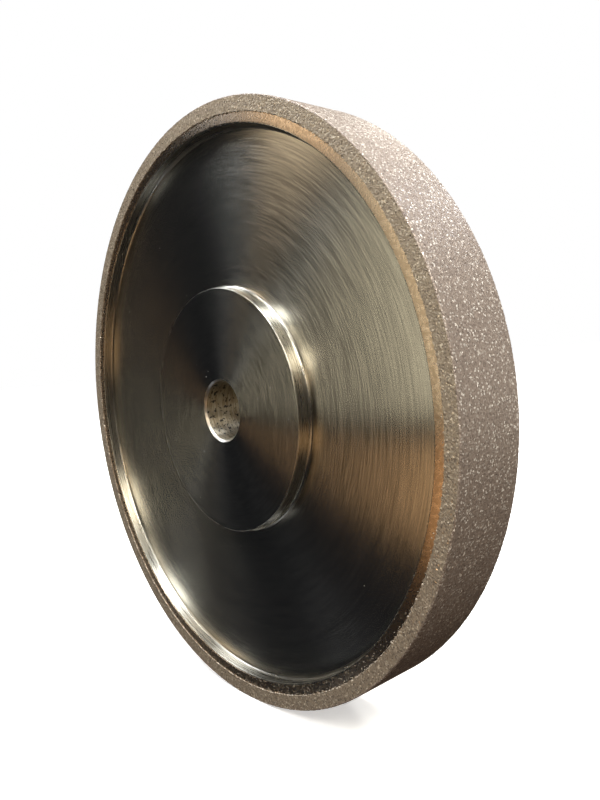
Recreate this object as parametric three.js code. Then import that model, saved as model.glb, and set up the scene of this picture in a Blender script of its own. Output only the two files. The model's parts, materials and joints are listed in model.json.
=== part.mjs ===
// Diamond grinding wheel: a turned steel core with a hub, a thin web and a rim, carrying plated
// layers of nickel-bonded diamond grit. Millimetres, +Z up. The wheel stands upright: its spin axis
// is Y, its front faces -Y, and the origin is at its centre. The back is the front's mirror image.

import * as THREE from "three";

// Driving dimensions
const wheelDiameter = 200;
const wheelWidth = 25;
const boreDiameter = 20;
const boreChamfer = 0.7;
const bossDiameter = 82;
const bossStandProud = 0.8; // the boss face stands this far in front of the rim
const bossEdgeBreak = 0.2;
const bossFilletRadius = 1.0;
const recessDepth = 4.0; // from the rim's face down to the web
const recessMouthDiameter = 183.2;
const recessFloorDiameter = 182.6; // the recess wall has a slight draft
const recessFilletRadius = 0.8;
const recessEdgeBreak = 0.2;
const sideBandInnerDiameter = 190;
const sideBandFlank = 0.15; // the grit layer's inner edge slopes outwards by this much
const gritThickness = 0.4; // nickel bond and diamond together
const gritCornerRadius = 0.35;
const nickelThickness = 0.15;
const nickelEdgeBreak = 0.04;
const layerGap = 0.02; // modelling clearance between a layer and what it is plated on

// How finely the turned shapes are faceted
const turnSegments = 96;
const filletSteps = 3;

// Sizes that follow from the dimensions above
const wheelRadius = wheelDiameter / 2;
const halfWidth = wheelWidth / 2;
const boreRadius = boreDiameter / 2;
const bossRadius = bossDiameter / 2;
const halfHub = halfWidth + bossStandProud;
const halfWeb = halfWidth - recessDepth;
const halfCoreRim = halfWidth - gritThickness;
const coreRadius = wheelRadius - gritThickness;
const recessMouthRadius = recessMouthDiameter / 2;
const recessFloorRadius = recessFloorDiameter / 2;
const landInnerRadius = recessMouthRadius + 2 * recessEdgeBreak;
const sideBandInnerRadius = sideBandInnerDiameter / 2;

// Points on an arc in the (radius, height) plane, from one angle to another, in degrees
function arc(centreRadius, centreHeight, arcRadius, fromDegrees, toDegrees) {
  const points = [];
  for (let step = 0; step <= filletSteps; step += 1) {
    const degrees = fromDegrees + ((toDegrees - fromDegrees) * step) / filletSteps;
    const angle = THREE.MathUtils.degToRad(degrees);
    points.push([
      centreRadius + arcRadius * Math.cos(angle),
      centreHeight + arcRadius * Math.sin(angle),
    ]);
  }
  return points;
}

// The same outline on the other side of the wheel, in the opposite order
function mirrored(points) {
  return points.map(([radius, height]) => [radius, -height]).reverse();
}

// Turns a closed outline of (radius, height along Y) points about the spin axis
function turned(name, outline, material) {
  const closed = [...outline, outline[0]].map(([radius, height]) => new THREE.Vector2(radius, height));
  const mesh = new THREE.Mesh(new THREE.LatheGeometry(closed, turnSegments), material);
  mesh.name = name;
  return mesh;
}

// Steel core: the front half of its section, from the bore out to the rim, then the back half
function wheelCore(material) {
  const frontHalf = [
    [boreRadius, -halfHub + boreChamfer],
    [boreRadius + boreChamfer, -halfHub],
    [bossRadius - bossEdgeBreak, -halfHub],
    [bossRadius, -halfHub + bossEdgeBreak],
    ...arc(bossRadius + bossFilletRadius, -halfWeb - bossFilletRadius, bossFilletRadius, 180, 90),
    ...arc(recessFloorRadius - recessFilletRadius, -halfWeb - recessFilletRadius, recessFilletRadius, 90, 0),
    [recessMouthRadius, -halfCoreRim + recessEdgeBreak],
    [recessMouthRadius + recessEdgeBreak, -halfCoreRim],
    [coreRadius, -halfCoreRim],
  ];
  return turned("wheel_core", [...frontHalf, ...mirrored(frontHalf)], material);
}

// Grit sleeve on the outside diameter, with both of its outer corners rounded
function rimAbrasiveBand(material) {
  const cornerCentre = wheelRadius - gritCornerRadius;
  const frontHalf = [
    [coreRadius + layerGap, -halfWidth],
    ...arc(cornerCentre, -halfWidth + gritCornerRadius, gritCornerRadius, 270, 360),
  ];
  return turned("rim_abrasive_band", [...frontHalf, ...mirrored(frontHalf)], material);
}

// Grit ring on one side of the rim; side is -1 at the front and 1 at the back
function sideAbrasiveBand(name, side, material) {
  const section = [
    [sideBandInnerRadius, -halfCoreRim - layerGap],
    [sideBandInnerRadius + sideBandFlank, -halfWidth],
    [coreRadius, -halfWidth],
    [coreRadius, -halfCoreRim - layerGap],
  ];
  return turned(name, side < 0 ? section : mirrored(section), material);
}

// Smooth nickel ring between the grit and the mouth of the recess
function nickelLand(name, side, material) {
  const face = -halfCoreRim - layerGap - nickelThickness;
  const section = [
    [landInnerRadius, -halfCoreRim - layerGap],
    [landInnerRadius, face + nickelEdgeBreak],
    [landInnerRadius + nickelEdgeBreak, face],
    [sideBandInnerRadius - layerGap, face],
    [sideBandInnerRadius - layerGap, -halfCoreRim - layerGap],
  ];
  return turned(name, side < 0 ? section : mirrored(section), material);
}

const turnedSteel = new THREE.MeshStandardMaterial({ color: 0x8b8478, roughness: 0.32, metalness: 1.0 });
const platedNickel = new THREE.MeshStandardMaterial({ color: 0xb09a6e, roughness: 0.22, metalness: 1.0 });
const rimGrit = new THREE.MeshStandardMaterial({ color: 0xa3948c, roughness: 0.75, metalness: 0.45 });
const sideGrit = new THREE.MeshStandardMaterial({ color: 0x8d7d66, roughness: 0.75, metalness: 0.45 });

const wheel = new THREE.Group();
wheel.add(wheelCore(turnedSteel));
wheel.add(rimAbrasiveBand(rimGrit));
wheel.add(sideAbrasiveBand("front_abrasive_band", -1, sideGrit));
wheel.add(sideAbrasiveBand("back_abrasive_band", 1, sideGrit));
wheel.add(nickelLand("front_nickel_land", -1, platedNickel));
wheel.add(nickelLand("back_nickel_land", 1, platedNickel));

export default wheel;
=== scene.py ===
# Diamond grinding wheel standing on its rim: a turned steel core, plated with nickel-bonded grit.
# Metres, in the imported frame: the spin axis is Y, the front faces -Y and Z is up.
import json
import math
import random

import bmesh
import bpy
from mathutils import Matrix, Quaternion, Vector


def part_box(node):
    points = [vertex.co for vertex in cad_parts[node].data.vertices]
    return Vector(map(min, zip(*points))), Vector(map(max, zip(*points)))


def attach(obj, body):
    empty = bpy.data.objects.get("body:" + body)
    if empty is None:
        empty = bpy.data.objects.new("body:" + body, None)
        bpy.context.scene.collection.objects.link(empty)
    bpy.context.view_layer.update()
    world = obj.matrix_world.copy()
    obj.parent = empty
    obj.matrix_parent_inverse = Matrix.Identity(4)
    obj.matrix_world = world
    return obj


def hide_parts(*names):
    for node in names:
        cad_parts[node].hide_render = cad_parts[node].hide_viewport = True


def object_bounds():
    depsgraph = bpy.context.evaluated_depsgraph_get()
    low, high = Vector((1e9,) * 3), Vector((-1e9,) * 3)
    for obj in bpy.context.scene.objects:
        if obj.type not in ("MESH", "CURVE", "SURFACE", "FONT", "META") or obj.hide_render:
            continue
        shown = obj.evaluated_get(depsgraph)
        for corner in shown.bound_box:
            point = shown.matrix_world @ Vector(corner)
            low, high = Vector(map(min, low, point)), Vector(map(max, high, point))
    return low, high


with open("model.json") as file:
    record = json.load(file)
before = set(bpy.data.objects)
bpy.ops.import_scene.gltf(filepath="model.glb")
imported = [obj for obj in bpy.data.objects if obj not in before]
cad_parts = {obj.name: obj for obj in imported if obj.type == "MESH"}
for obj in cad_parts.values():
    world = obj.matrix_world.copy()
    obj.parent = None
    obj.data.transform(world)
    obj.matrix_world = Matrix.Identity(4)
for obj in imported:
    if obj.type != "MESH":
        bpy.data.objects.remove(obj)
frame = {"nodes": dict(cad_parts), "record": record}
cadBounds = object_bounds()
print("frame loaded:", sorted(frame["nodes"]))

mm = 0.001
spinAxis = Vector((0, 1, 0))
fullTurn = 2 * math.pi
turnSectors = 16  # one sector is spun, then copied round by doubling, which is far quicker than a full spin
mergeDistance = 0.001 * mm


# Sizes from the frame

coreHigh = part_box("wheel_core")[1]
coreRadius = coreHigh.x
halfHub = coreHigh.y
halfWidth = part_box("rim_abrasive_band")[1].y
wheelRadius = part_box("rim_abrasive_band")[1].x
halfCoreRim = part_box("back_abrasive_band")[0].y
spindleBore = next(m for m in frame["record"]["mounts"] if m["name"] == "spindle_bore")
boreRadius = spindleBore["dims"]["r_mm"] * mm


# Shared helpers

def linearColour(hexCode):
    # the standard sRGB curve
    channels = [int(hexCode[i:i + 2], 16) / 255 for i in (1, 3, 5)]
    linear = [c / 12.92 if c <= 0.04045 else ((c + 0.055) / 1.055) ** 2.4 for c in channels]
    return (*linear, 1.0)


def addNode(tree, kind, settings=None, links=None):
    # settings: a name or number that is a socket sets the socket, any other name sets the property
    node = tree.nodes.new(kind)
    for key, value in (settings or {}).items():
        if isinstance(key, int) or key in node.inputs:
            node.inputs[key].default_value = value
        else:
            setattr(node, key, value)
    for key, source in (links or {}).items():
        tree.links.new(source, node.inputs[key])
    return node


def newMaterial(name):
    material = bpy.data.materials.new(name)
    material.use_nodes = True
    material.node_tree.nodes.clear()
    return material, material.node_tree


def finishMaterial(tree, shader):
    addNode(tree, "ShaderNodeOutputMaterial", {}, {"Surface": shader.outputs["BSDF"]})


def ramp(node, stops):
    # stops: (position, linear colour) pairs, first and last included
    elements = node.color_ramp.elements
    while len(elements) < len(stops):
        elements.new(0.5)  # every stop gets its own place below
    for element, (position, colour) in zip(elements, stops):
        element.position = position
        element.color = colour
    return node


def cornerAt(radius, height, rounding=(0, 1)):
    # rounding: (mm, segments)
    return radius, height, rounding[0] * mm, rounding[1]


def turnSection(corners, steps, rowSpacing=None, isSkin=None):
    # corners: from cornerAt, in order round a closed section; the edges that isSkin picks are cut into rows
    bm = bmesh.new()
    points = [bm.verts.new((radius, height, 0)) for radius, height, _, _ in corners]
    for start, end in zip(points, points[1:] + points[:1]):
        bm.edges.new((start, end))
    for point, (_, _, rounding, segments) in zip(points, corners):
        if rounding > 0:
            bmesh.ops.bevel(bm, geom=[point], offset=rounding, offset_type="OFFSET", segments=segments,
                            profile=0.5, affect="VERTICES", clamp_overlap=True, material=-1)
    if rowSpacing:
        skin = [edge for edge in bm.edges if all(isSkin(vert.co) for vert in edge.verts)]
        for edge in skin:
            cuts = round(edge.calc_length() / rowSpacing) - 1
            if cuts > 0:
                bmesh.ops.subdivide_edges(bm, edges=[edge], cuts=cuts)
    sector = fullTurn / turnSectors
    bmesh.ops.spin(bm, geom=bm.verts[:] + bm.edges[:], cent=(0, 0, 0), axis=spinAxis, dvec=(0, 0, 0),
                   angle=sector, steps=steps // turnSectors, use_merge=False, use_duplicate=False)
    made = 1
    while made < turnSectors:
        copied = bmesh.ops.duplicate(bm, geom=bm.verts[:] + bm.edges[:] + bm.faces[:])["geom"]
        bmesh.ops.rotate(bm, verts=[item for item in copied if isinstance(item, bmesh.types.BMVert)],
                         cent=(0, 0, 0), matrix=Matrix.Rotation(made * sector, 3, spinAxis))
        made *= 2
    bmesh.ops.remove_doubles(bm, verts=bm.verts, dist=mergeDistance)
    bmesh.ops.recalc_face_normals(bm, faces=bm.faces)
    return bm


def makePiece(name, bm, materials, node=None):
    mesh = bpy.data.meshes.new(name)
    bm.to_mesh(mesh)
    bm.free()
    for material in materials:
        mesh.materials.append(material)
    piece = bpy.data.objects.new(name, mesh)
    bpy.context.scene.collection.objects.link(piece)
    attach(piece, "root")
    if node:
        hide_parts(node)
    print("made", name, "with", len(mesh.polygons), "faces")
    return piece


def weighNormals(piece):
    # the flats keep their true normals and each fillet runs smoothly into them
    piece.modifiers.new("weightedNormals", "WEIGHTED_NORMAL").keep_sharp = True


def mirrorCorners(corners):
    # the front half of a section, and after it the same half seen from the back
    return corners + [(radius, -height, rounding, segments)
                      for radius, height, rounding, segments in reversed(corners)]


# Camera and light

cameraPlan = {
    "place": (0.2041, -0.1444, 0.0173),  # metres, in front of the wheel and to its right
    "heading": 137.0,  # degrees from +X towards +Y
    "pitch": -4.05,  # degrees
    "roll": 4.34,  # degrees
    "lens": 31.96,  # mm
    "sensor": 36,  # mm, the long side
    "shiftAcross": -0.062,  # of the long side
    "clipStart": 0.01,  # metres
}


def makeCamera():
    heading = math.radians(cameraPlan["heading"])
    pitch = math.radians(cameraPlan["pitch"])
    forward = Vector((math.cos(heading) * math.cos(pitch), math.sin(heading) * math.cos(pitch),
                      math.sin(pitch)))
    data = bpy.data.cameras.new("viewCamera")
    data.lens = cameraPlan["lens"]
    data.sensor_width = cameraPlan["sensor"]
    data.sensor_fit = "AUTO"
    data.shift_x = cameraPlan["shiftAcross"]
    data.clip_start = cameraPlan["clipStart"]
    camera = bpy.data.objects.new("viewCamera", data)
    camera.location = cameraPlan["place"]
    roll = Quaternion(forward, math.radians(cameraPlan["roll"]))
    camera.rotation_euler = (roll @ forward.to_track_quat("-Z", "Y")).to_euler()
    bpy.context.scene.collection.objects.link(camera)
    bpy.context.scene.camera = camera


# bearing: degrees from straight in front of the wheel, positive to its right
# height: degrees above the spin axis; spread: the lamp's width and height in metres
lightPlan = {
    "distance": 1.5,  # metres from the middle of the wheel
    "colours": {"daylight": "#ebf3ff", "white": "#fffbf2", "tube": "#fff7df", "warm": "#ffeacc",
                "amber": "#ffcf9a"},
    "lamps": {
        # high lamps and windows: the hot spots on the fillets, and light on the rim
        "topSoftbox": {
            "bearing": 180, "height": 84, "spread": (0.6, 0.6), "watts": 6, "colour": "white"},
        "highRightSoftbox": {
            "bearing": 95, "height": 52, "spread": (0.6, 0.6), "watts": 22, "colour": "white"},
        "windowTop": {
            "bearing": 14, "height": 75, "spread": (0.45, 0.4), "watts": 19, "colour": "daylight"},
        "ceilingLeft": {
            "bearing": -68, "height": 72, "spread": (0.25, 0.25), "watts": 3, "colour": "white"},
        "windowFront": {
            "bearing": -11, "height": 48, "spread": (0.25, 0.25), "watts": 5.5, "colour": "daylight"},
        "lampFront": {
            "bearing": 6, "height": 40, "spread": (0.25, 0.25), "watts": 2.4, "colour": "white"},
        "lampRight": {
            "bearing": 58, "height": 37, "spread": (0.45, 0.45), "watts": 10, "colour": "white"},
        "lampLeft": {
            "bearing": -68, "height": 43, "spread": (0.45, 0.45), "watts": 6.5, "colour": "daylight"},
        # level lamps: the broad sectors on the turned faces
        "frontSoftbox": {
            "bearing": -29, "height": 11, "spread": (0.3, 0.92), "watts": 2.7, "colour": "tube"},
        "doorwayRight": {
            "bearing": 24, "height": 16, "spread": (0.25, 0.25), "watts": 2.8, "colour": "warm"},
        "corniceLeft": {
            "bearing": -44, "height": 28, "spread": (0.3, 0.3), "watts": 1.05, "colour": "warm"},
        # low lamps: what a bench top would bounce back
        "benchFront": {
            "bearing": -27, "height": -15, "spread": (0.3, 0.32), "watts": 0.8, "colour": "amber"},
        "benchFrontRight": {
            "bearing": 42, "height": -24, "spread": (0.8, 0.4), "watts": 1.1, "colour": "amber"},
        "benchRight": {
            "bearing": 90, "height": -37, "spread": (0.6, 0.6), "watts": 1.8, "colour": "amber"},
        "benchLeft": {
            "bearing": -41, "height": -49, "spread": (0.25, 0.25), "watts": 0.5, "colour": "daylight"},
        # behind the wheel, for its back face
        "backSoftbox": {
            "bearing": 163, "height": 4, "spread": (0.4, 0.9), "watts": 1.7, "colour": "white"},
        "backWindow": {
            "bearing": 172, "height": 38, "spread": (0.3, 0.3), "watts": 2.5, "colour": "daylight"},
        "backRight": {
            "bearing": 150, "height": -4, "spread": (0.4, 0.4), "watts": 0.9, "colour": "white"},
        "backHighLeft": {
            "bearing": -156, "height": 30, "spread": (0.4, 0.4), "watts": 6, "colour": "white"},
        "backLeft": {
            "bearing": -131, "height": 7, "spread": (0.5, 0.5), "watts": 5, "colour": "white"},
        "backLow": {
            "bearing": -156, "height": -12, "spread": (0.4, 0.4), "watts": 2.5, "colour": "white"},
        "backMiddle": {
            "bearing": -173, "height": 9, "spread": (0.4, 0.4), "watts": 2, "colour": "white"},
    },
}


def makeLights():
    for name, lamp in lightPlan["lamps"].items():
        data = bpy.data.lights.new(name, "AREA")
        data.shape = "RECTANGLE"
        data.size, data.size_y = lamp["spread"]
        data.energy = lamp["watts"]
        data.color = linearColour(lightPlan["colours"][lamp["colour"]])[:3]
        light = bpy.data.objects.new(name, data)
        bearing = math.radians(lamp["bearing"])
        height = math.radians(lamp["height"])
        direction = Vector((math.sin(bearing) * math.cos(height), -math.cos(bearing) * math.cos(height),
                            math.sin(height)))
        light.location = direction * lightPlan["distance"]
        light.rotation_euler = (-direction).to_track_quat("-Z", "Y").to_euler()
        light.visible_camera = False
        bpy.context.scene.collection.objects.link(light)


stagePlan = {
    "floorSize": 12.0,
    "floorCells": 4,
    "floorColour": "#f4f3f1",
    "floorRoughness": 0.9,
    "floorGlow": (0.5, 1.05),  # under the wheel and out towards the horizon, so that no edge shows
    "glowReach": (0.25, 1.3),  # metres from the wheel where the glow starts and stops rising
    "backdropColour": "#ffffff",
    "backdropStrength": 1.0,
    "roomColour": "#dbe8ff",
    "roomStrength": 0.022,  # what the dim room gives back to the metal
}


def makeFloor():
    material, tree = newMaterial("paleStudioFloor")
    place = addNode(tree, "ShaderNodeTexCoord")
    away = addNode(tree, "ShaderNodeVectorMath", {"operation": "LENGTH"}, {0: place.outputs["Object"]})
    near, far = stagePlan["glowReach"]
    glow = addNode(tree, "ShaderNodeMapRange", {
        "From Min": near, "From Max": far, "To Min": stagePlan["floorGlow"][0],
        "To Max": stagePlan["floorGlow"][1]}, {"Value": away.outputs["Value"]})
    shader = addNode(tree, "ShaderNodeBsdfPrincipled", {
        "Base Color": linearColour(stagePlan["floorColour"]), "Roughness": stagePlan["floorRoughness"],
        "Emission Color": linearColour(stagePlan["backdropColour"])},
        {"Emission Strength": glow.outputs["Result"]})
    finishMaterial(tree, shader)
    bm = bmesh.new()
    bmesh.ops.create_grid(bm, x_segments=stagePlan["floorCells"], y_segments=stagePlan["floorCells"],
                          size=stagePlan["floorSize"] / 2)
    bmesh.ops.translate(bm, verts=bm.verts, vec=(0, 0, cadBounds[0].z))
    mesh = bpy.data.meshes.new("studioFloor")
    bm.to_mesh(mesh)
    bm.free()
    mesh.materials.append(material)
    floor = bpy.data.objects.new("studioFloor", mesh)
    bpy.context.scene.collection.objects.link(floor)
    floor.visible_glossy = False  # the metal stands in a dim room and mostly its lamps show in it
    floor.visible_diffuse = False
    floor.visible_shadow = False  # low lamps stand for light that a table would bounce up


def makeWorld():
    # a white backdrop to look at, and a dim grey room for the metal to mirror
    world = bpy.data.worlds.new("studioWorld")
    bpy.context.scene.world = world
    world.use_nodes = True
    tree = world.node_tree
    tree.nodes.clear()
    path = addNode(tree, "ShaderNodeLightPath")
    room = addNode(tree, "ShaderNodeBackground", {
        "Color": linearColour(stagePlan["roomColour"]), "Strength": stagePlan["roomStrength"]})
    backdrop = addNode(tree, "ShaderNodeBackground", {
        "Color": linearColour(stagePlan["backdropColour"]), "Strength": stagePlan["backdropStrength"]})
    seen = addNode(tree, "ShaderNodeMixShader", {}, {
        0: path.outputs["Is Camera Ray"], 1: room.outputs["Background"], 2: backdrop.outputs["Background"]})
    addNode(tree, "ShaderNodeOutputWorld", {}, {"Surface": seen.outputs["Shader"]})
    bpy.context.scene.view_settings.view_transform = "Standard"


makeCamera()
makeLights()
makeFloor()
makeWorld()
print("camera, lights and stage are in place")


# Materials

acrossRings = 0.25  # of a turn: stretches every highlight across the rings, along the radius
noiseSpan = (0.3, 0.7)  # where nearly all the values of a noise node lie
ringGrain = 0.6  # how strongly the finer octaves of the ring noise show


def ringFrame(tree):
    # places on the turned wheel: radius and depth, the unit vector outwards, and the way the tool ran
    place = addNode(tree, "ShaderNodeTexCoord")
    flat = addNode(tree, "ShaderNodeVectorMath", {"operation": "MULTIPLY", 1: (1, 0, 1)},
                   {0: place.outputs["Object"]})
    radius = addNode(tree, "ShaderNodeVectorMath", {"operation": "LENGTH"}, {0: flat.outputs["Vector"]})
    outward = addNode(tree, "ShaderNodeVectorMath", {"operation": "NORMALIZE"}, {0: flat.outputs["Vector"]})
    axes = addNode(tree, "ShaderNodeSeparateXYZ", {}, {0: place.outputs["Object"]})
    depth = addNode(tree, "ShaderNodeMath", {"operation": "ABSOLUTE"}, {0: axes.outputs["Y"]})
    toolPath = addNode(tree, "ShaderNodeVectorMath", {"operation": "CROSS_PRODUCT", 1: spinAxis},
                       {0: outward.outputs["Vector"]})
    return {"place": place.outputs["Object"], "radius": radius.outputs["Value"],
            "outward": outward.outputs["Vector"], "depth": depth.outputs["Value"],
            "toolPath": toolPath.outputs["Vector"]}


def ringNoise(tree, ring, spacing, perTurn, detail):
    # noise that runs round the wheel: spacing is mm across it, perTurn is how often it changes in a turn
    along = addNode(tree, "ShaderNodeMath", {"operation": "SUBTRACT"}, {0: ring["radius"], 1: ring["depth"]})
    climb = addNode(tree, "ShaderNodeMath", {"operation": "MULTIPLY", 1: 1 / (spacing * mm)},
                    {0: along.outputs["Value"]})
    lift = addNode(tree, "ShaderNodeCombineXYZ", {}, {"Y": climb.outputs["Value"]})
    spread = perTurn / fullTurn
    coords = addNode(tree, "ShaderNodeVectorMath", {"operation": "MULTIPLY_ADD", 1: (spread, 0, spread)},
                     {0: ring["outward"], 2: lift.outputs["Vector"]})
    return addNode(tree, "ShaderNodeTexNoise", {"Scale": 1.0, "Detail": detail, "Roughness": ringGrain},
                   {"Vector": coords.outputs["Vector"]})


turnedSteelLook = {
    "steel": "#beb9ac",
    "darkSteel": "#a6a196",
    "dust": "#e8e4da",
    "flats": {"name": "faceTurnedSteel", "roughness": (0.21, 0.25), "anisotropy": 0.86},
    "fillets": {"name": "turnedSteelFillets", "roughness": (0.26, 0.3), "anisotropy": 0.55},
    "toneSpan": (0.38, 0.62),  # the part of the marks that runs from dark to light steel
    "lineSpacing": 0.5,  # mm between the tool's feed marks, drawn coarser than the real 0.1 mm
    "linesPerTurn": 6,  # how often a feed mark changes round the wheel
    "streakSpacing": 0.42,  # mm across a polishing streak, as fine as still shows
    "streaksPerTurn": 34,
    "streakShare": 0.6,  # of the marks, the rest being feed marks
    "grooveDepth": 0.0003,  # mm
    "dustSpacing": 7.0,  # mm between specks of grinding dust
    "dustSize": 0.16,  # mm, the radius of the largest speck
}


def turnedSteel(finish):
    # Mild steel, face-turned then polished with emery while it spins: fine rings that stretch every
    # highlight along the radius and leave the sectors between the lamps nearly black. The emery
    # hardly reaches the fillets, so the rings are less regular there and the highlights wider.
    look = turnedSteelLook
    material, tree = newMaterial(finish["name"])
    ring = ringFrame(tree)
    feed = ringNoise(tree, ring, look["lineSpacing"], look["linesPerTurn"], detail=2)
    streaks = ringNoise(tree, ring, look["streakSpacing"], look["streaksPerTurn"], detail=1)
    marks = addNode(tree, "ShaderNodeMix", {"data_type": "FLOAT", "Factor": look["streakShare"]},
                    {2: feed.outputs["Fac"], 3: streaks.outputs["Fac"]})
    bump = addNode(tree, "ShaderNodeBump", {"Strength": 1.0, "Distance": look["grooveDepth"] * mm},
                   {"Height": marks.outputs[0]})
    roughness = addNode(tree, "ShaderNodeMapRange", {
        "From Min": noiseSpan[0], "From Max": noiseSpan[1], "To Min": finish["roughness"][0],
        "To Max": finish["roughness"][1]}, {"Value": streaks.outputs["Fac"]})
    bare = ramp(addNode(tree, "ShaderNodeValToRGB", {}, {"Fac": marks.outputs[0]}),
                [(look["toneSpan"][0], linearColour(look["darkSteel"])),
                 (look["toneSpan"][1], linearColour(look["steel"]))])
    specks = addNode(tree, "ShaderNodeTexVoronoi",
                     {"Scale": 1 / (look["dustSpacing"] * mm), "Randomness": 1.0}, {"Vector": ring["place"]})
    reach = look["dustSize"] / look["dustSpacing"]
    dust = addNode(tree, "ShaderNodeMapRange", {"From Min": reach, "From Max": reach / 2, "To Min": 0.0,
                                                "To Max": 1.0}, {"Value": specks.outputs["Distance"]})
    colour = addNode(tree, "ShaderNodeMix", {"data_type": "RGBA", 7: linearColour(look["dust"])},
                     {0: dust.outputs["Result"], 6: bare.outputs["Color"]})
    metal = addNode(tree, "ShaderNodeMath", {"operation": "SUBTRACT", 0: 1.0}, {1: dust.outputs["Result"]})
    shader = addNode(tree, "ShaderNodeBsdfPrincipled", {
        "Anisotropic": finish["anisotropy"], "Anisotropic Rotation": acrossRings},
        {"Base Color": colour.outputs[2], "Metallic": metal.outputs["Value"],
         "Roughness": roughness.outputs["Result"], "Normal": bump.outputs["Normal"],
         "Tangent": ring["toolPath"]})
    finishMaterial(tree, shader)
    return material


chamferLook = {
    "steel": "#c9c2b6",
    "roughness": 0.34,
    "wearSpacing": 0.5,  # mm
    "wearPerTurn": 60,
    "wearDepth": 0.004,  # mm
}


def chamferedSteel():
    # The edge break at the mouth of the bore, cut with a plain tool: soft bright steel, no rings.
    look = chamferLook
    material, tree = newMaterial("chamferedSteel")
    ring = ringFrame(tree)
    wear = ringNoise(tree, ring, look["wearSpacing"], look["wearPerTurn"], detail=2)
    bump = addNode(tree, "ShaderNodeBump", {"Strength": 1.0, "Distance": look["wearDepth"] * mm},
                   {"Height": wear.outputs["Fac"]})
    shader = addNode(tree, "ShaderNodeBsdfPrincipled", {
        "Base Color": linearColour(look["steel"]), "Metallic": 1.0, "Roughness": look["roughness"]},
        {"Normal": bump.outputs["Normal"]})
    finishMaterial(tree, shader)
    return material


boredSteelLook = {
    "steel": "#b3a994",
    "pit": "#17120c",
    "stain": "#86775f",
    "toneSpan": (0.3, 0.6),  # the part of the tool lines that runs from stain to bare steel
    "lineSpacing": 0.5,  # mm
    "linesPerTurn": 12,
    "pitSpacing": 1.1,  # mm
    "pitLevel": (0.385, 0.425),  # a higher level rusts more of the wall
    "pitDepth": 0.05,  # mm
    "roughness": 0.46,
    "anisotropy": 0.85,
    "metallic": 0.95,
}


def boredSteel():
    # The bore as the boring bar left it: matt steel with faint tool lines and rust pits that were
    # never polished out.
    look = boredSteelLook
    material, tree = newMaterial("boredPittedSteel")
    ring = ringFrame(tree)
    pits = addNode(tree, "ShaderNodeTexNoise", {"Scale": 1 / (look["pitSpacing"] * mm), "Detail": 3},
                   {"Vector": ring["place"]})
    lines = ringNoise(tree, ring, look["lineSpacing"], look["linesPerTurn"], detail=2)
    bare = ramp(addNode(tree, "ShaderNodeValToRGB", {}, {"Fac": lines.outputs["Fac"]}),
                [(look["toneSpan"][0], linearColour(look["stain"])),
                 (look["toneSpan"][1], linearColour(look["steel"]))])
    mask = addNode(tree, "ShaderNodeMapRange", {
        "From Min": look["pitLevel"][0], "From Max": look["pitLevel"][1], "To Min": 1.0, "To Max": 0.0},
        {"Value": pits.outputs["Fac"]})
    colour = addNode(tree, "ShaderNodeMix", {"data_type": "RGBA", 7: linearColour(look["pit"])},
                     {0: mask.outputs["Result"], 6: bare.outputs["Color"]})
    metal = addNode(tree, "ShaderNodeMapRange", {
        "From Min": 0.0, "From Max": 1.0, "To Min": look["metallic"], "To Max": 0.0},
        {"Value": mask.outputs["Result"]})
    bump = addNode(tree, "ShaderNodeBump", {"Strength": 1.0, "Distance": look["pitDepth"] * mm},
                   {"Height": pits.outputs["Fac"]})
    shader = addNode(tree, "ShaderNodeBsdfPrincipled", {
        "Roughness": look["roughness"], "Anisotropic": look["anisotropy"],
        "Anisotropic Rotation": acrossRings},
        {"Base Color": colour.outputs[2], "Metallic": metal.outputs["Result"],
         "Normal": bump.outputs["Normal"], "Tangent": ring["toolPath"]})
    finishMaterial(tree, shader)
    return material


gritPlan = {
    "rowSpacing": 0.42,  # mm between crystals along the section
    "turnSteps": 1440,  # crystals round the wheel
    "relief": 0.07,  # mm between the tallest and the lowest crystal
    "evenness": 1.5,  # above 1, more of the crystals stand near full height
    "cornerRelief": 0.17,  # mm, the same along the outer corner, where single crystals stand out
    "scatter": 0.35,  # how far a crystal strays from its row, in spacings
    "raggedEdge": (-0.3, 0.2),  # mm, how far the side layer creeps over the land or stops short of it
    "cornerRounding": (0.35, 3),  # mm and segments
    "rootGap": 0.02,  # mm between a layer and what it is plated on
    "skinDepth": 0.06,  # mm, what counts as the outer skin of a layer
    "flank": 0.15,  # mm, the slope at the inner edge of a side layer
    "raggedReach": 1.5,  # flanks in from the edge, as far as the layer is ragged
    "seed": 11,
}


# cell: mm across one crystal; roughness: of the smoothest crystals and of the dullest
gritLooks = {
    "rim": {"bond": "#9a8c81", "crystal": "#efe8de", "shade": "#80736a", "metallic": 0.45,
            "roughness": (0.36, 0.62), "cell": 0.45},
    "side": {"bond": "#a39684", "crystal": "#ded2be", "shade": "#7d7164", "metallic": 0.7,
             "roughness": (0.4, 0.65), "cell": 0.42},
}
gritGrain = {
    "glintShare": 0.035,  # of the crystals, those with a clean flat face
    "glintRoughness": 0.16,
    "fineSpacing": 0.3,  # mm
    "fineDepth": 0.025,  # mm
    "wornEdgeAndHighlight": "#d8cec0",  # bright metal where the corner has been rubbed, and a painted highlight along the rounded corner
    "wornAndHighlightShare": 0.3,
    "bondSpan": (0.4, 0.85),  # the cells that are plain bond, with shade below and crystal above
}


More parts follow.
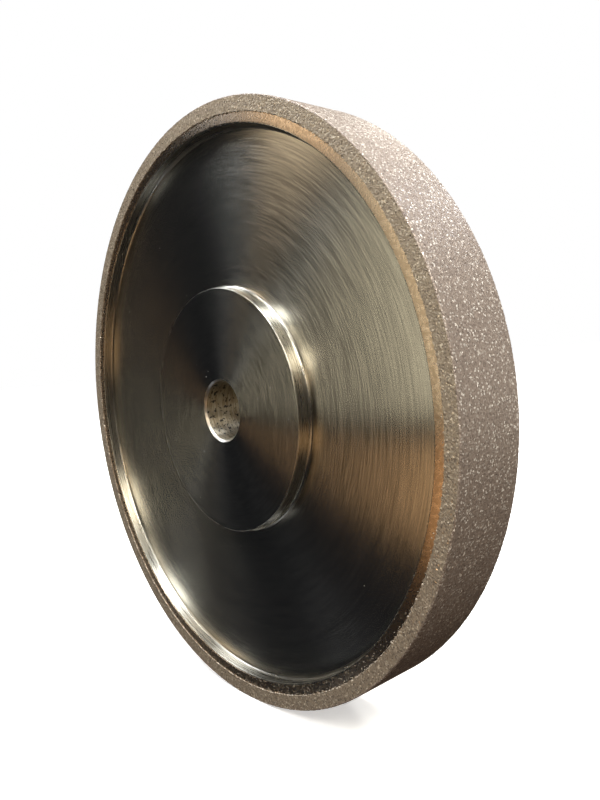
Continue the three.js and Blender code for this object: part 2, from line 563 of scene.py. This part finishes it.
def bondedGrit(name, look):
    # One layer of diamond crystals held half their height in electroplated nickel: every facet
    # faces its own way, so the layer glitters over a matt grey-brown.
    material, tree = newMaterial(name)
    ring = ringFrame(tree)
    cells = addNode(tree, "ShaderNodeTexVoronoi", {"Scale": 1 / (look["cell"] * mm), "Randomness": 1.0},
                    {"Vector": ring["place"]})
    pick = addNode(tree, "ShaderNodeSeparateColor", {}, {"Color": cells.outputs["Color"]})
    colour = ramp(addNode(tree, "ShaderNodeValToRGB", {}, {"Fac": pick.outputs["Red"]}),
                  [(0.0, linearColour(look["shade"])),
                   (gritGrain["bondSpan"][0], linearColour(look["bond"])),
                   (gritGrain["bondSpan"][1], linearColour(look["bond"])),
                   (1.0, linearColour(look["crystal"]))])
    reach = addNode(tree, "ShaderNodeMath", {"operation": "ADD"}, {0: ring["radius"], 1: ring["depth"]})
    rounding = gritPlan["cornerRounding"][0] * mm
    tip = wheelRadius + halfWidth - rounding
    fade = rounding / 3  # the rubbed, painted-highlight strip has soft sides
    # painted highlight: the rounded outer corner is lightened all round, partly as rubbed metal, partly as
    # light catching the edge
    wornAndHighlight = addNode(tree, "ShaderNodeMapRange", {
        "From Min": tip - fade, "From Max": tip + fade, "To Min": 0.0,
        "To Max": gritGrain["wornAndHighlightShare"]}, {"Value": reach.outputs["Value"]})
    patchy = addNode(tree, "ShaderNodeMath", {"operation": "MULTIPLY"},
                     {0: wornAndHighlight.outputs["Result"], 1: pick.outputs["Red"]})
    rubbedAndHighlit = addNode(tree, "ShaderNodeMix", {"data_type": "RGBA", 7: linearColour(gritGrain["wornEdgeAndHighlight"])},
                     {0: patchy.outputs["Value"], 6: colour.outputs["Color"]})
    matt = addNode(tree, "ShaderNodeMapRange",
                   {"From Min": 0.0, "From Max": 1.0, "To Min": look["roughness"][0],
                    "To Max": look["roughness"][1]}, {"Value": pick.outputs["Green"]})
    clean = addNode(tree, "ShaderNodeMath", {"operation": "LESS_THAN", 1: gritGrain["glintShare"]},
                    {0: pick.outputs["Blue"]})
    roughness = addNode(tree, "ShaderNodeMix", {"data_type": "FLOAT", 3: gritGrain["glintRoughness"]},
                        {0: clean.outputs["Value"], 2: matt.outputs["Result"]})
    fine = addNode(tree, "ShaderNodeTexNoise", {"Scale": 1 / (gritGrain["fineSpacing"] * mm), "Detail": 2.0},
                   {"Vector": ring["place"]})
    bump = addNode(tree, "ShaderNodeBump", {"Strength": 1.0, "Distance": gritGrain["fineDepth"] * mm},
                   {"Height": fine.outputs["Fac"]})
    shader = addNode(tree, "ShaderNodeBsdfPrincipled", {"Metallic": look["metallic"]},
                     {"Base Color": rubbedAndHighlit.outputs[2], "Roughness": roughness.outputs[0],
                      "Normal": bump.outputs["Normal"]})
    finishMaterial(tree, shader)
    return material


nickelLook = {
    "nickel": "#c2af99",
    "dull": "#ab957d",
    "roughness": (0.25, 0.3),
    "anisotropy": 0.8,
    "mottle": 1.2,  # mm
    "mottleDepth": 0.01,  # mm
}


def platedNickel():
    # Nickel plate laid straight on the turned rim: warm satin that keeps the rings under it.
    look = nickelLook
    material, tree = newMaterial("satinNickelPlate")
    ring = ringFrame(tree)
    mottle = addNode(tree, "ShaderNodeTexNoise", {"Scale": 1 / (look["mottle"] * mm), "Detail": 4.0},
                     {"Vector": ring["place"]})
    colour = ramp(addNode(tree, "ShaderNodeValToRGB", {}, {"Fac": mottle.outputs["Fac"]}),
                  [(noiseSpan[0], linearColour(look["dull"])), (noiseSpan[1], linearColour(look["nickel"]))])
    roughness = addNode(tree, "ShaderNodeMapRange", {
        "From Min": noiseSpan[0], "From Max": noiseSpan[1], "To Min": look["roughness"][1],
        "To Max": look["roughness"][0]}, {"Value": mottle.outputs["Fac"]})
    bump = addNode(tree, "ShaderNodeBump", {"Strength": 1.0, "Distance": look["mottleDepth"] * mm},
                   {"Height": mottle.outputs["Fac"]})
    shader = addNode(tree, "ShaderNodeBsdfPrincipled", {
        "Metallic": 1.0, "Anisotropic": look["anisotropy"], "Anisotropic Rotation": acrossRings},
        {"Base Color": colour.outputs["Color"], "Roughness": roughness.outputs["Result"],
         "Normal": bump.outputs["Normal"], "Tangent": ring["toolPath"]})
    finishMaterial(tree, shader)
    return material


faceTurnedSteel = turnedSteel(turnedSteelLook["flats"])
filletSteel = turnedSteel(turnedSteelLook["fillets"])
boredPittedSteel = boredSteel()
chamferSteel = chamferedSteel()
rimGrit = bondedGrit("nickelBondedRimGrit", gritLooks["rim"])
sideGrit = bondedGrit("nickelBondedSideGrit", gritLooks["side"])
satinNickel = platedNickel()
print("materials are ready")


# Steel core

# mm; each rounding, fillet and edge is (mm, segments)
corePlan = {
    "boreChamfer": 0.7,
    "chamferRounding": (0.12, 3),
    "bossRadius": 41.0,
    "bossEdge": (0.3, 5),
    "bossFillet": (1.0, 8),
    "recessDepth": 4.0,
    "recessFloorRadius": 91.3,
    "recessMouthRadius": 91.6,
    "recessFillet": (0.8, 8),
    "recessEdge": (0.25, 4),
    "boreMargin": 0.05,  # how far a face may lie from the bore or its chamfer and still count as part of it
    "flatLimit": 0.999,  # a face that leans more than this lets it has the finish of the fillets
    "turnSteps": 384,
}


def steelCore():
    plan = corePlan
    chamfer = plan["boreChamfer"] * mm
    boss = plan["bossRadius"] * mm
    web = halfWidth - plan["recessDepth"] * mm
    frontHalf = [
        cornerAt(boreRadius, -halfHub + chamfer, plan["chamferRounding"]),
        cornerAt(boreRadius + chamfer, -halfHub, plan["chamferRounding"]),
        cornerAt(boss, -halfHub, plan["bossEdge"]),
        cornerAt(boss, -web, plan["bossFillet"]),
        cornerAt(plan["recessFloorRadius"] * mm, -web, plan["recessFillet"]),
        cornerAt(plan["recessMouthRadius"] * mm, -halfCoreRim, plan["recessEdge"]),
        cornerAt(coreRadius, -halfCoreRim),
    ]
    bm = turnSection(mirrorCorners(frontHalf), plan["turnSteps"])
    margin = plan["boreMargin"] * mm
    wallLimit = boreRadius + margin
    mouthLimit = boreRadius + chamfer - margin
    for face in bm.faces:
        face.smooth = True
        middle = face.calc_center_median()
        reach = math.hypot(middle.x, middle.z)
        if reach < wallLimit:
            face.material_index = 1
        elif reach < mouthLimit:
            face.material_index = 2
        elif abs(face.normal.y) < plan["flatLimit"]:
            face.material_index = 3
    finishes = [faceTurnedSteel, boredPittedSteel, chamferSteel, filletSteel]
    return makePiece("TurnedSteelCore", bm, finishes, "wheel_core")


weighNormals(steelCore())


# Grit layers

def roughen(bm, isSkin, inward, stretch):
    # moves every vertex of the skin a little sideways, and inwards by its own share of the relief
    chance = random.Random(gritPlan["seed"])
    stray = gritPlan["scatter"] * gritPlan["rowSpacing"] * mm
    for vert in bm.verts:
        if not isSkin(vert.co):
            continue
        around = spinAxis.cross(vert.co).normalized()
        sideways = chance.uniform(-stray, stray)
        along = chance.uniform(-stray, stray)
        drop = chance.random() ** gritPlan["evenness"]
        vert.co += around * sideways + stretch(vert.co) * along + inward(vert.co) * drop
    for face in bm.faces:
        face.smooth = False


def outwards(co):
    return Vector((co.x, 0, co.z)).normalized()


def gritSleeve():
    inner = coreRadius + gritPlan["rootGap"] * mm
    skinRadius = wheelRadius - gritPlan["skinDepth"] * mm
    rounding = gritPlan["cornerRounding"][0] * mm
    cornerRadius = wheelRadius - 1.01 * rounding  # just inside the first vertices of the rounding
    flatEdge = halfWidth - rounding
    corners = [
        cornerAt(inner, -halfWidth),
        cornerAt(wheelRadius, -halfWidth, gritPlan["cornerRounding"]),
        cornerAt(wheelRadius, halfWidth, gritPlan["cornerRounding"]),
        cornerAt(inner, halfWidth),
    ]

    def isSkin(co):
        return math.hypot(co.x, co.z) > skinRadius

    def isSkinOrCorner(co):
        return math.hypot(co.x, co.z) > cornerRadius

    def inward(co):
        if abs(co.y) < flatEdge:
            return outwards(co) * -gritPlan["relief"] * mm
        diagonal = outwards(co) + spinAxis * math.copysign(1, co.y)
        return diagonal.normalized() * -gritPlan["cornerRelief"] * mm

    def stretch(co):
        return spinAxis if abs(co.y) < flatEdge else Vector((0, 0, 0))

    bm = turnSection(corners, gritPlan["turnSteps"], gritPlan["rowSpacing"] * mm, isSkin)
    roughen(bm, isSkinOrCorner, inward, stretch)
    makePiece("RimGritSleeve", bm, [rimGrit], "rim_abrasive_band")


def faceAndRoot(node):
    # which way a side layer faces, and the heights of its outer face and of its root on the core
    low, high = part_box(node)
    if low.y < 0:
        return -1, low.y, high.y
    return 1, high.y, low.y


def gritRing(name, node, landNode):
    side, face, root = faceAndRoot(node)
    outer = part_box(node)[1].x
    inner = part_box(landNode)[1].x + gritPlan["rootGap"] * mm
    corners = [
        cornerAt(inner, root),
        cornerAt(inner + gritPlan["flank"] * mm, face),
        cornerAt(outer, face),
        cornerAt(outer, root),
    ]
    outerLimit = outer - gritPlan["skinDepth"] * mm
    innerLimit = inner + gritPlan["raggedReach"] * gritPlan["flank"] * mm

    def isSkin(co):
        return abs(co.y - face) < gritPlan["skinDepth"] * mm

    def stretch(co):
        return outwards(co) if math.hypot(co.x, co.z) < outerLimit else Vector((0, 0, 0))

    bm = turnSection(corners, gritPlan["turnSteps"], gritPlan["rowSpacing"] * mm, isSkin)
    chance = random.Random(gritPlan["seed"])
    for vert in bm.verts:
        if isSkin(vert.co) and math.hypot(vert.co.x, vert.co.z) < innerLimit:
            vert.co += outwards(vert.co) * chance.uniform(*gritPlan["raggedEdge"]) * mm
    roughen(bm, isSkin, lambda co: spinAxis * -side * gritPlan["relief"] * mm, stretch)
    makePiece(name, bm, [sideGrit], node)


# the stray crystals lie on the lands, so both plans stand here
landPlan = {
    "innerRadius": 92.0,  # mm
    "edge": (0.08, 3),  # mm and segments
    "turnSteps": 384,
}
strayPlan = {
    "crystals": 550,  # round the edge of each side layer
    "creep": 0.35,  # mm, the mean distance that they lie from that edge
    "patchCrystals": 260,  # more of them, all over one stretch of the land
    "patch": (252, 328),  # degrees round the wheel, from +X towards +Z
    "size": (0.08, 0.24),  # mm, radius
    "sunk": 0.4,  # of the radius, into the plate
    "clearance": 1.5,  # radii between a crystal's middle and the inner edge of the land
    "seed": 23,
}


def strayCrystals(name, landNode):
    # single diamonds that the plating caught on the land, inside the edge of the side layer
    side, face, _ = faceAndRoot(landNode)
    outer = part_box(landNode)[1].x
    landWidth = outer - landPlan["innerRadius"] * mm
    chance = random.Random(strayPlan["seed"])
    bm = bmesh.new()
    for index in range(strayPlan["crystals"] + strayPlan["patchCrystals"]):
        size = chance.uniform(*strayPlan["size"]) * mm
        if index < strayPlan["crystals"]:
            turn = chance.uniform(0, 360)
            creep = chance.expovariate(1 / (strayPlan["creep"] * mm))
        else:
            turn = chance.triangular(*strayPlan["patch"])
            creep = chance.uniform(0, landWidth)
        reach = outer - min(creep, landWidth - strayPlan["clearance"] * size)
        turn = math.radians(turn)
        spot = Vector((reach * math.cos(turn), face - side * strayPlan["sunk"] * size,
                       reach * math.sin(turn)))
        tumbleAxis = Vector((chance.gauss(0, 1), chance.gauss(0, 1), chance.gauss(0, 1))).normalized()
        tumble = Quaternion(tumbleAxis, chance.uniform(0, math.pi))
        bmesh.ops.create_icosphere(bm, subdivisions=1, radius=size,
                                   matrix=Matrix.Translation(spot) @ tumble.to_matrix().to_4x4())
    for polygon in bm.faces:
        polygon.smooth = False
    makePiece(name, bm, [sideGrit])


gritSleeve()
gritRing("FrontGritRing", "front_abrasive_band", "front_nickel_land")
gritRing("BackGritRing", "back_abrasive_band", "back_nickel_land")
strayCrystals("FrontStrayCrystals", "front_nickel_land")
strayCrystals("BackStrayCrystals", "back_nickel_land")


# Nickel lands

def nickelRing(name, node):
    _, face, root = faceAndRoot(node)
    inner = landPlan["innerRadius"] * mm
    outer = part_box(node)[1].x
    corners = [
        cornerAt(inner, root),
        cornerAt(inner, face, landPlan["edge"]),
        cornerAt(outer, face),
        cornerAt(outer, root),
    ]
    bm = turnSection(corners, landPlan["turnSteps"])
    for polygon in bm.faces:
        polygon.smooth = True
    weighNormals(makePiece(name, bm, [satinNickel], node))


nickelRing("FrontNickelRing", "front_nickel_land")
nickelRing("BackNickelRing", "back_nickel_land")
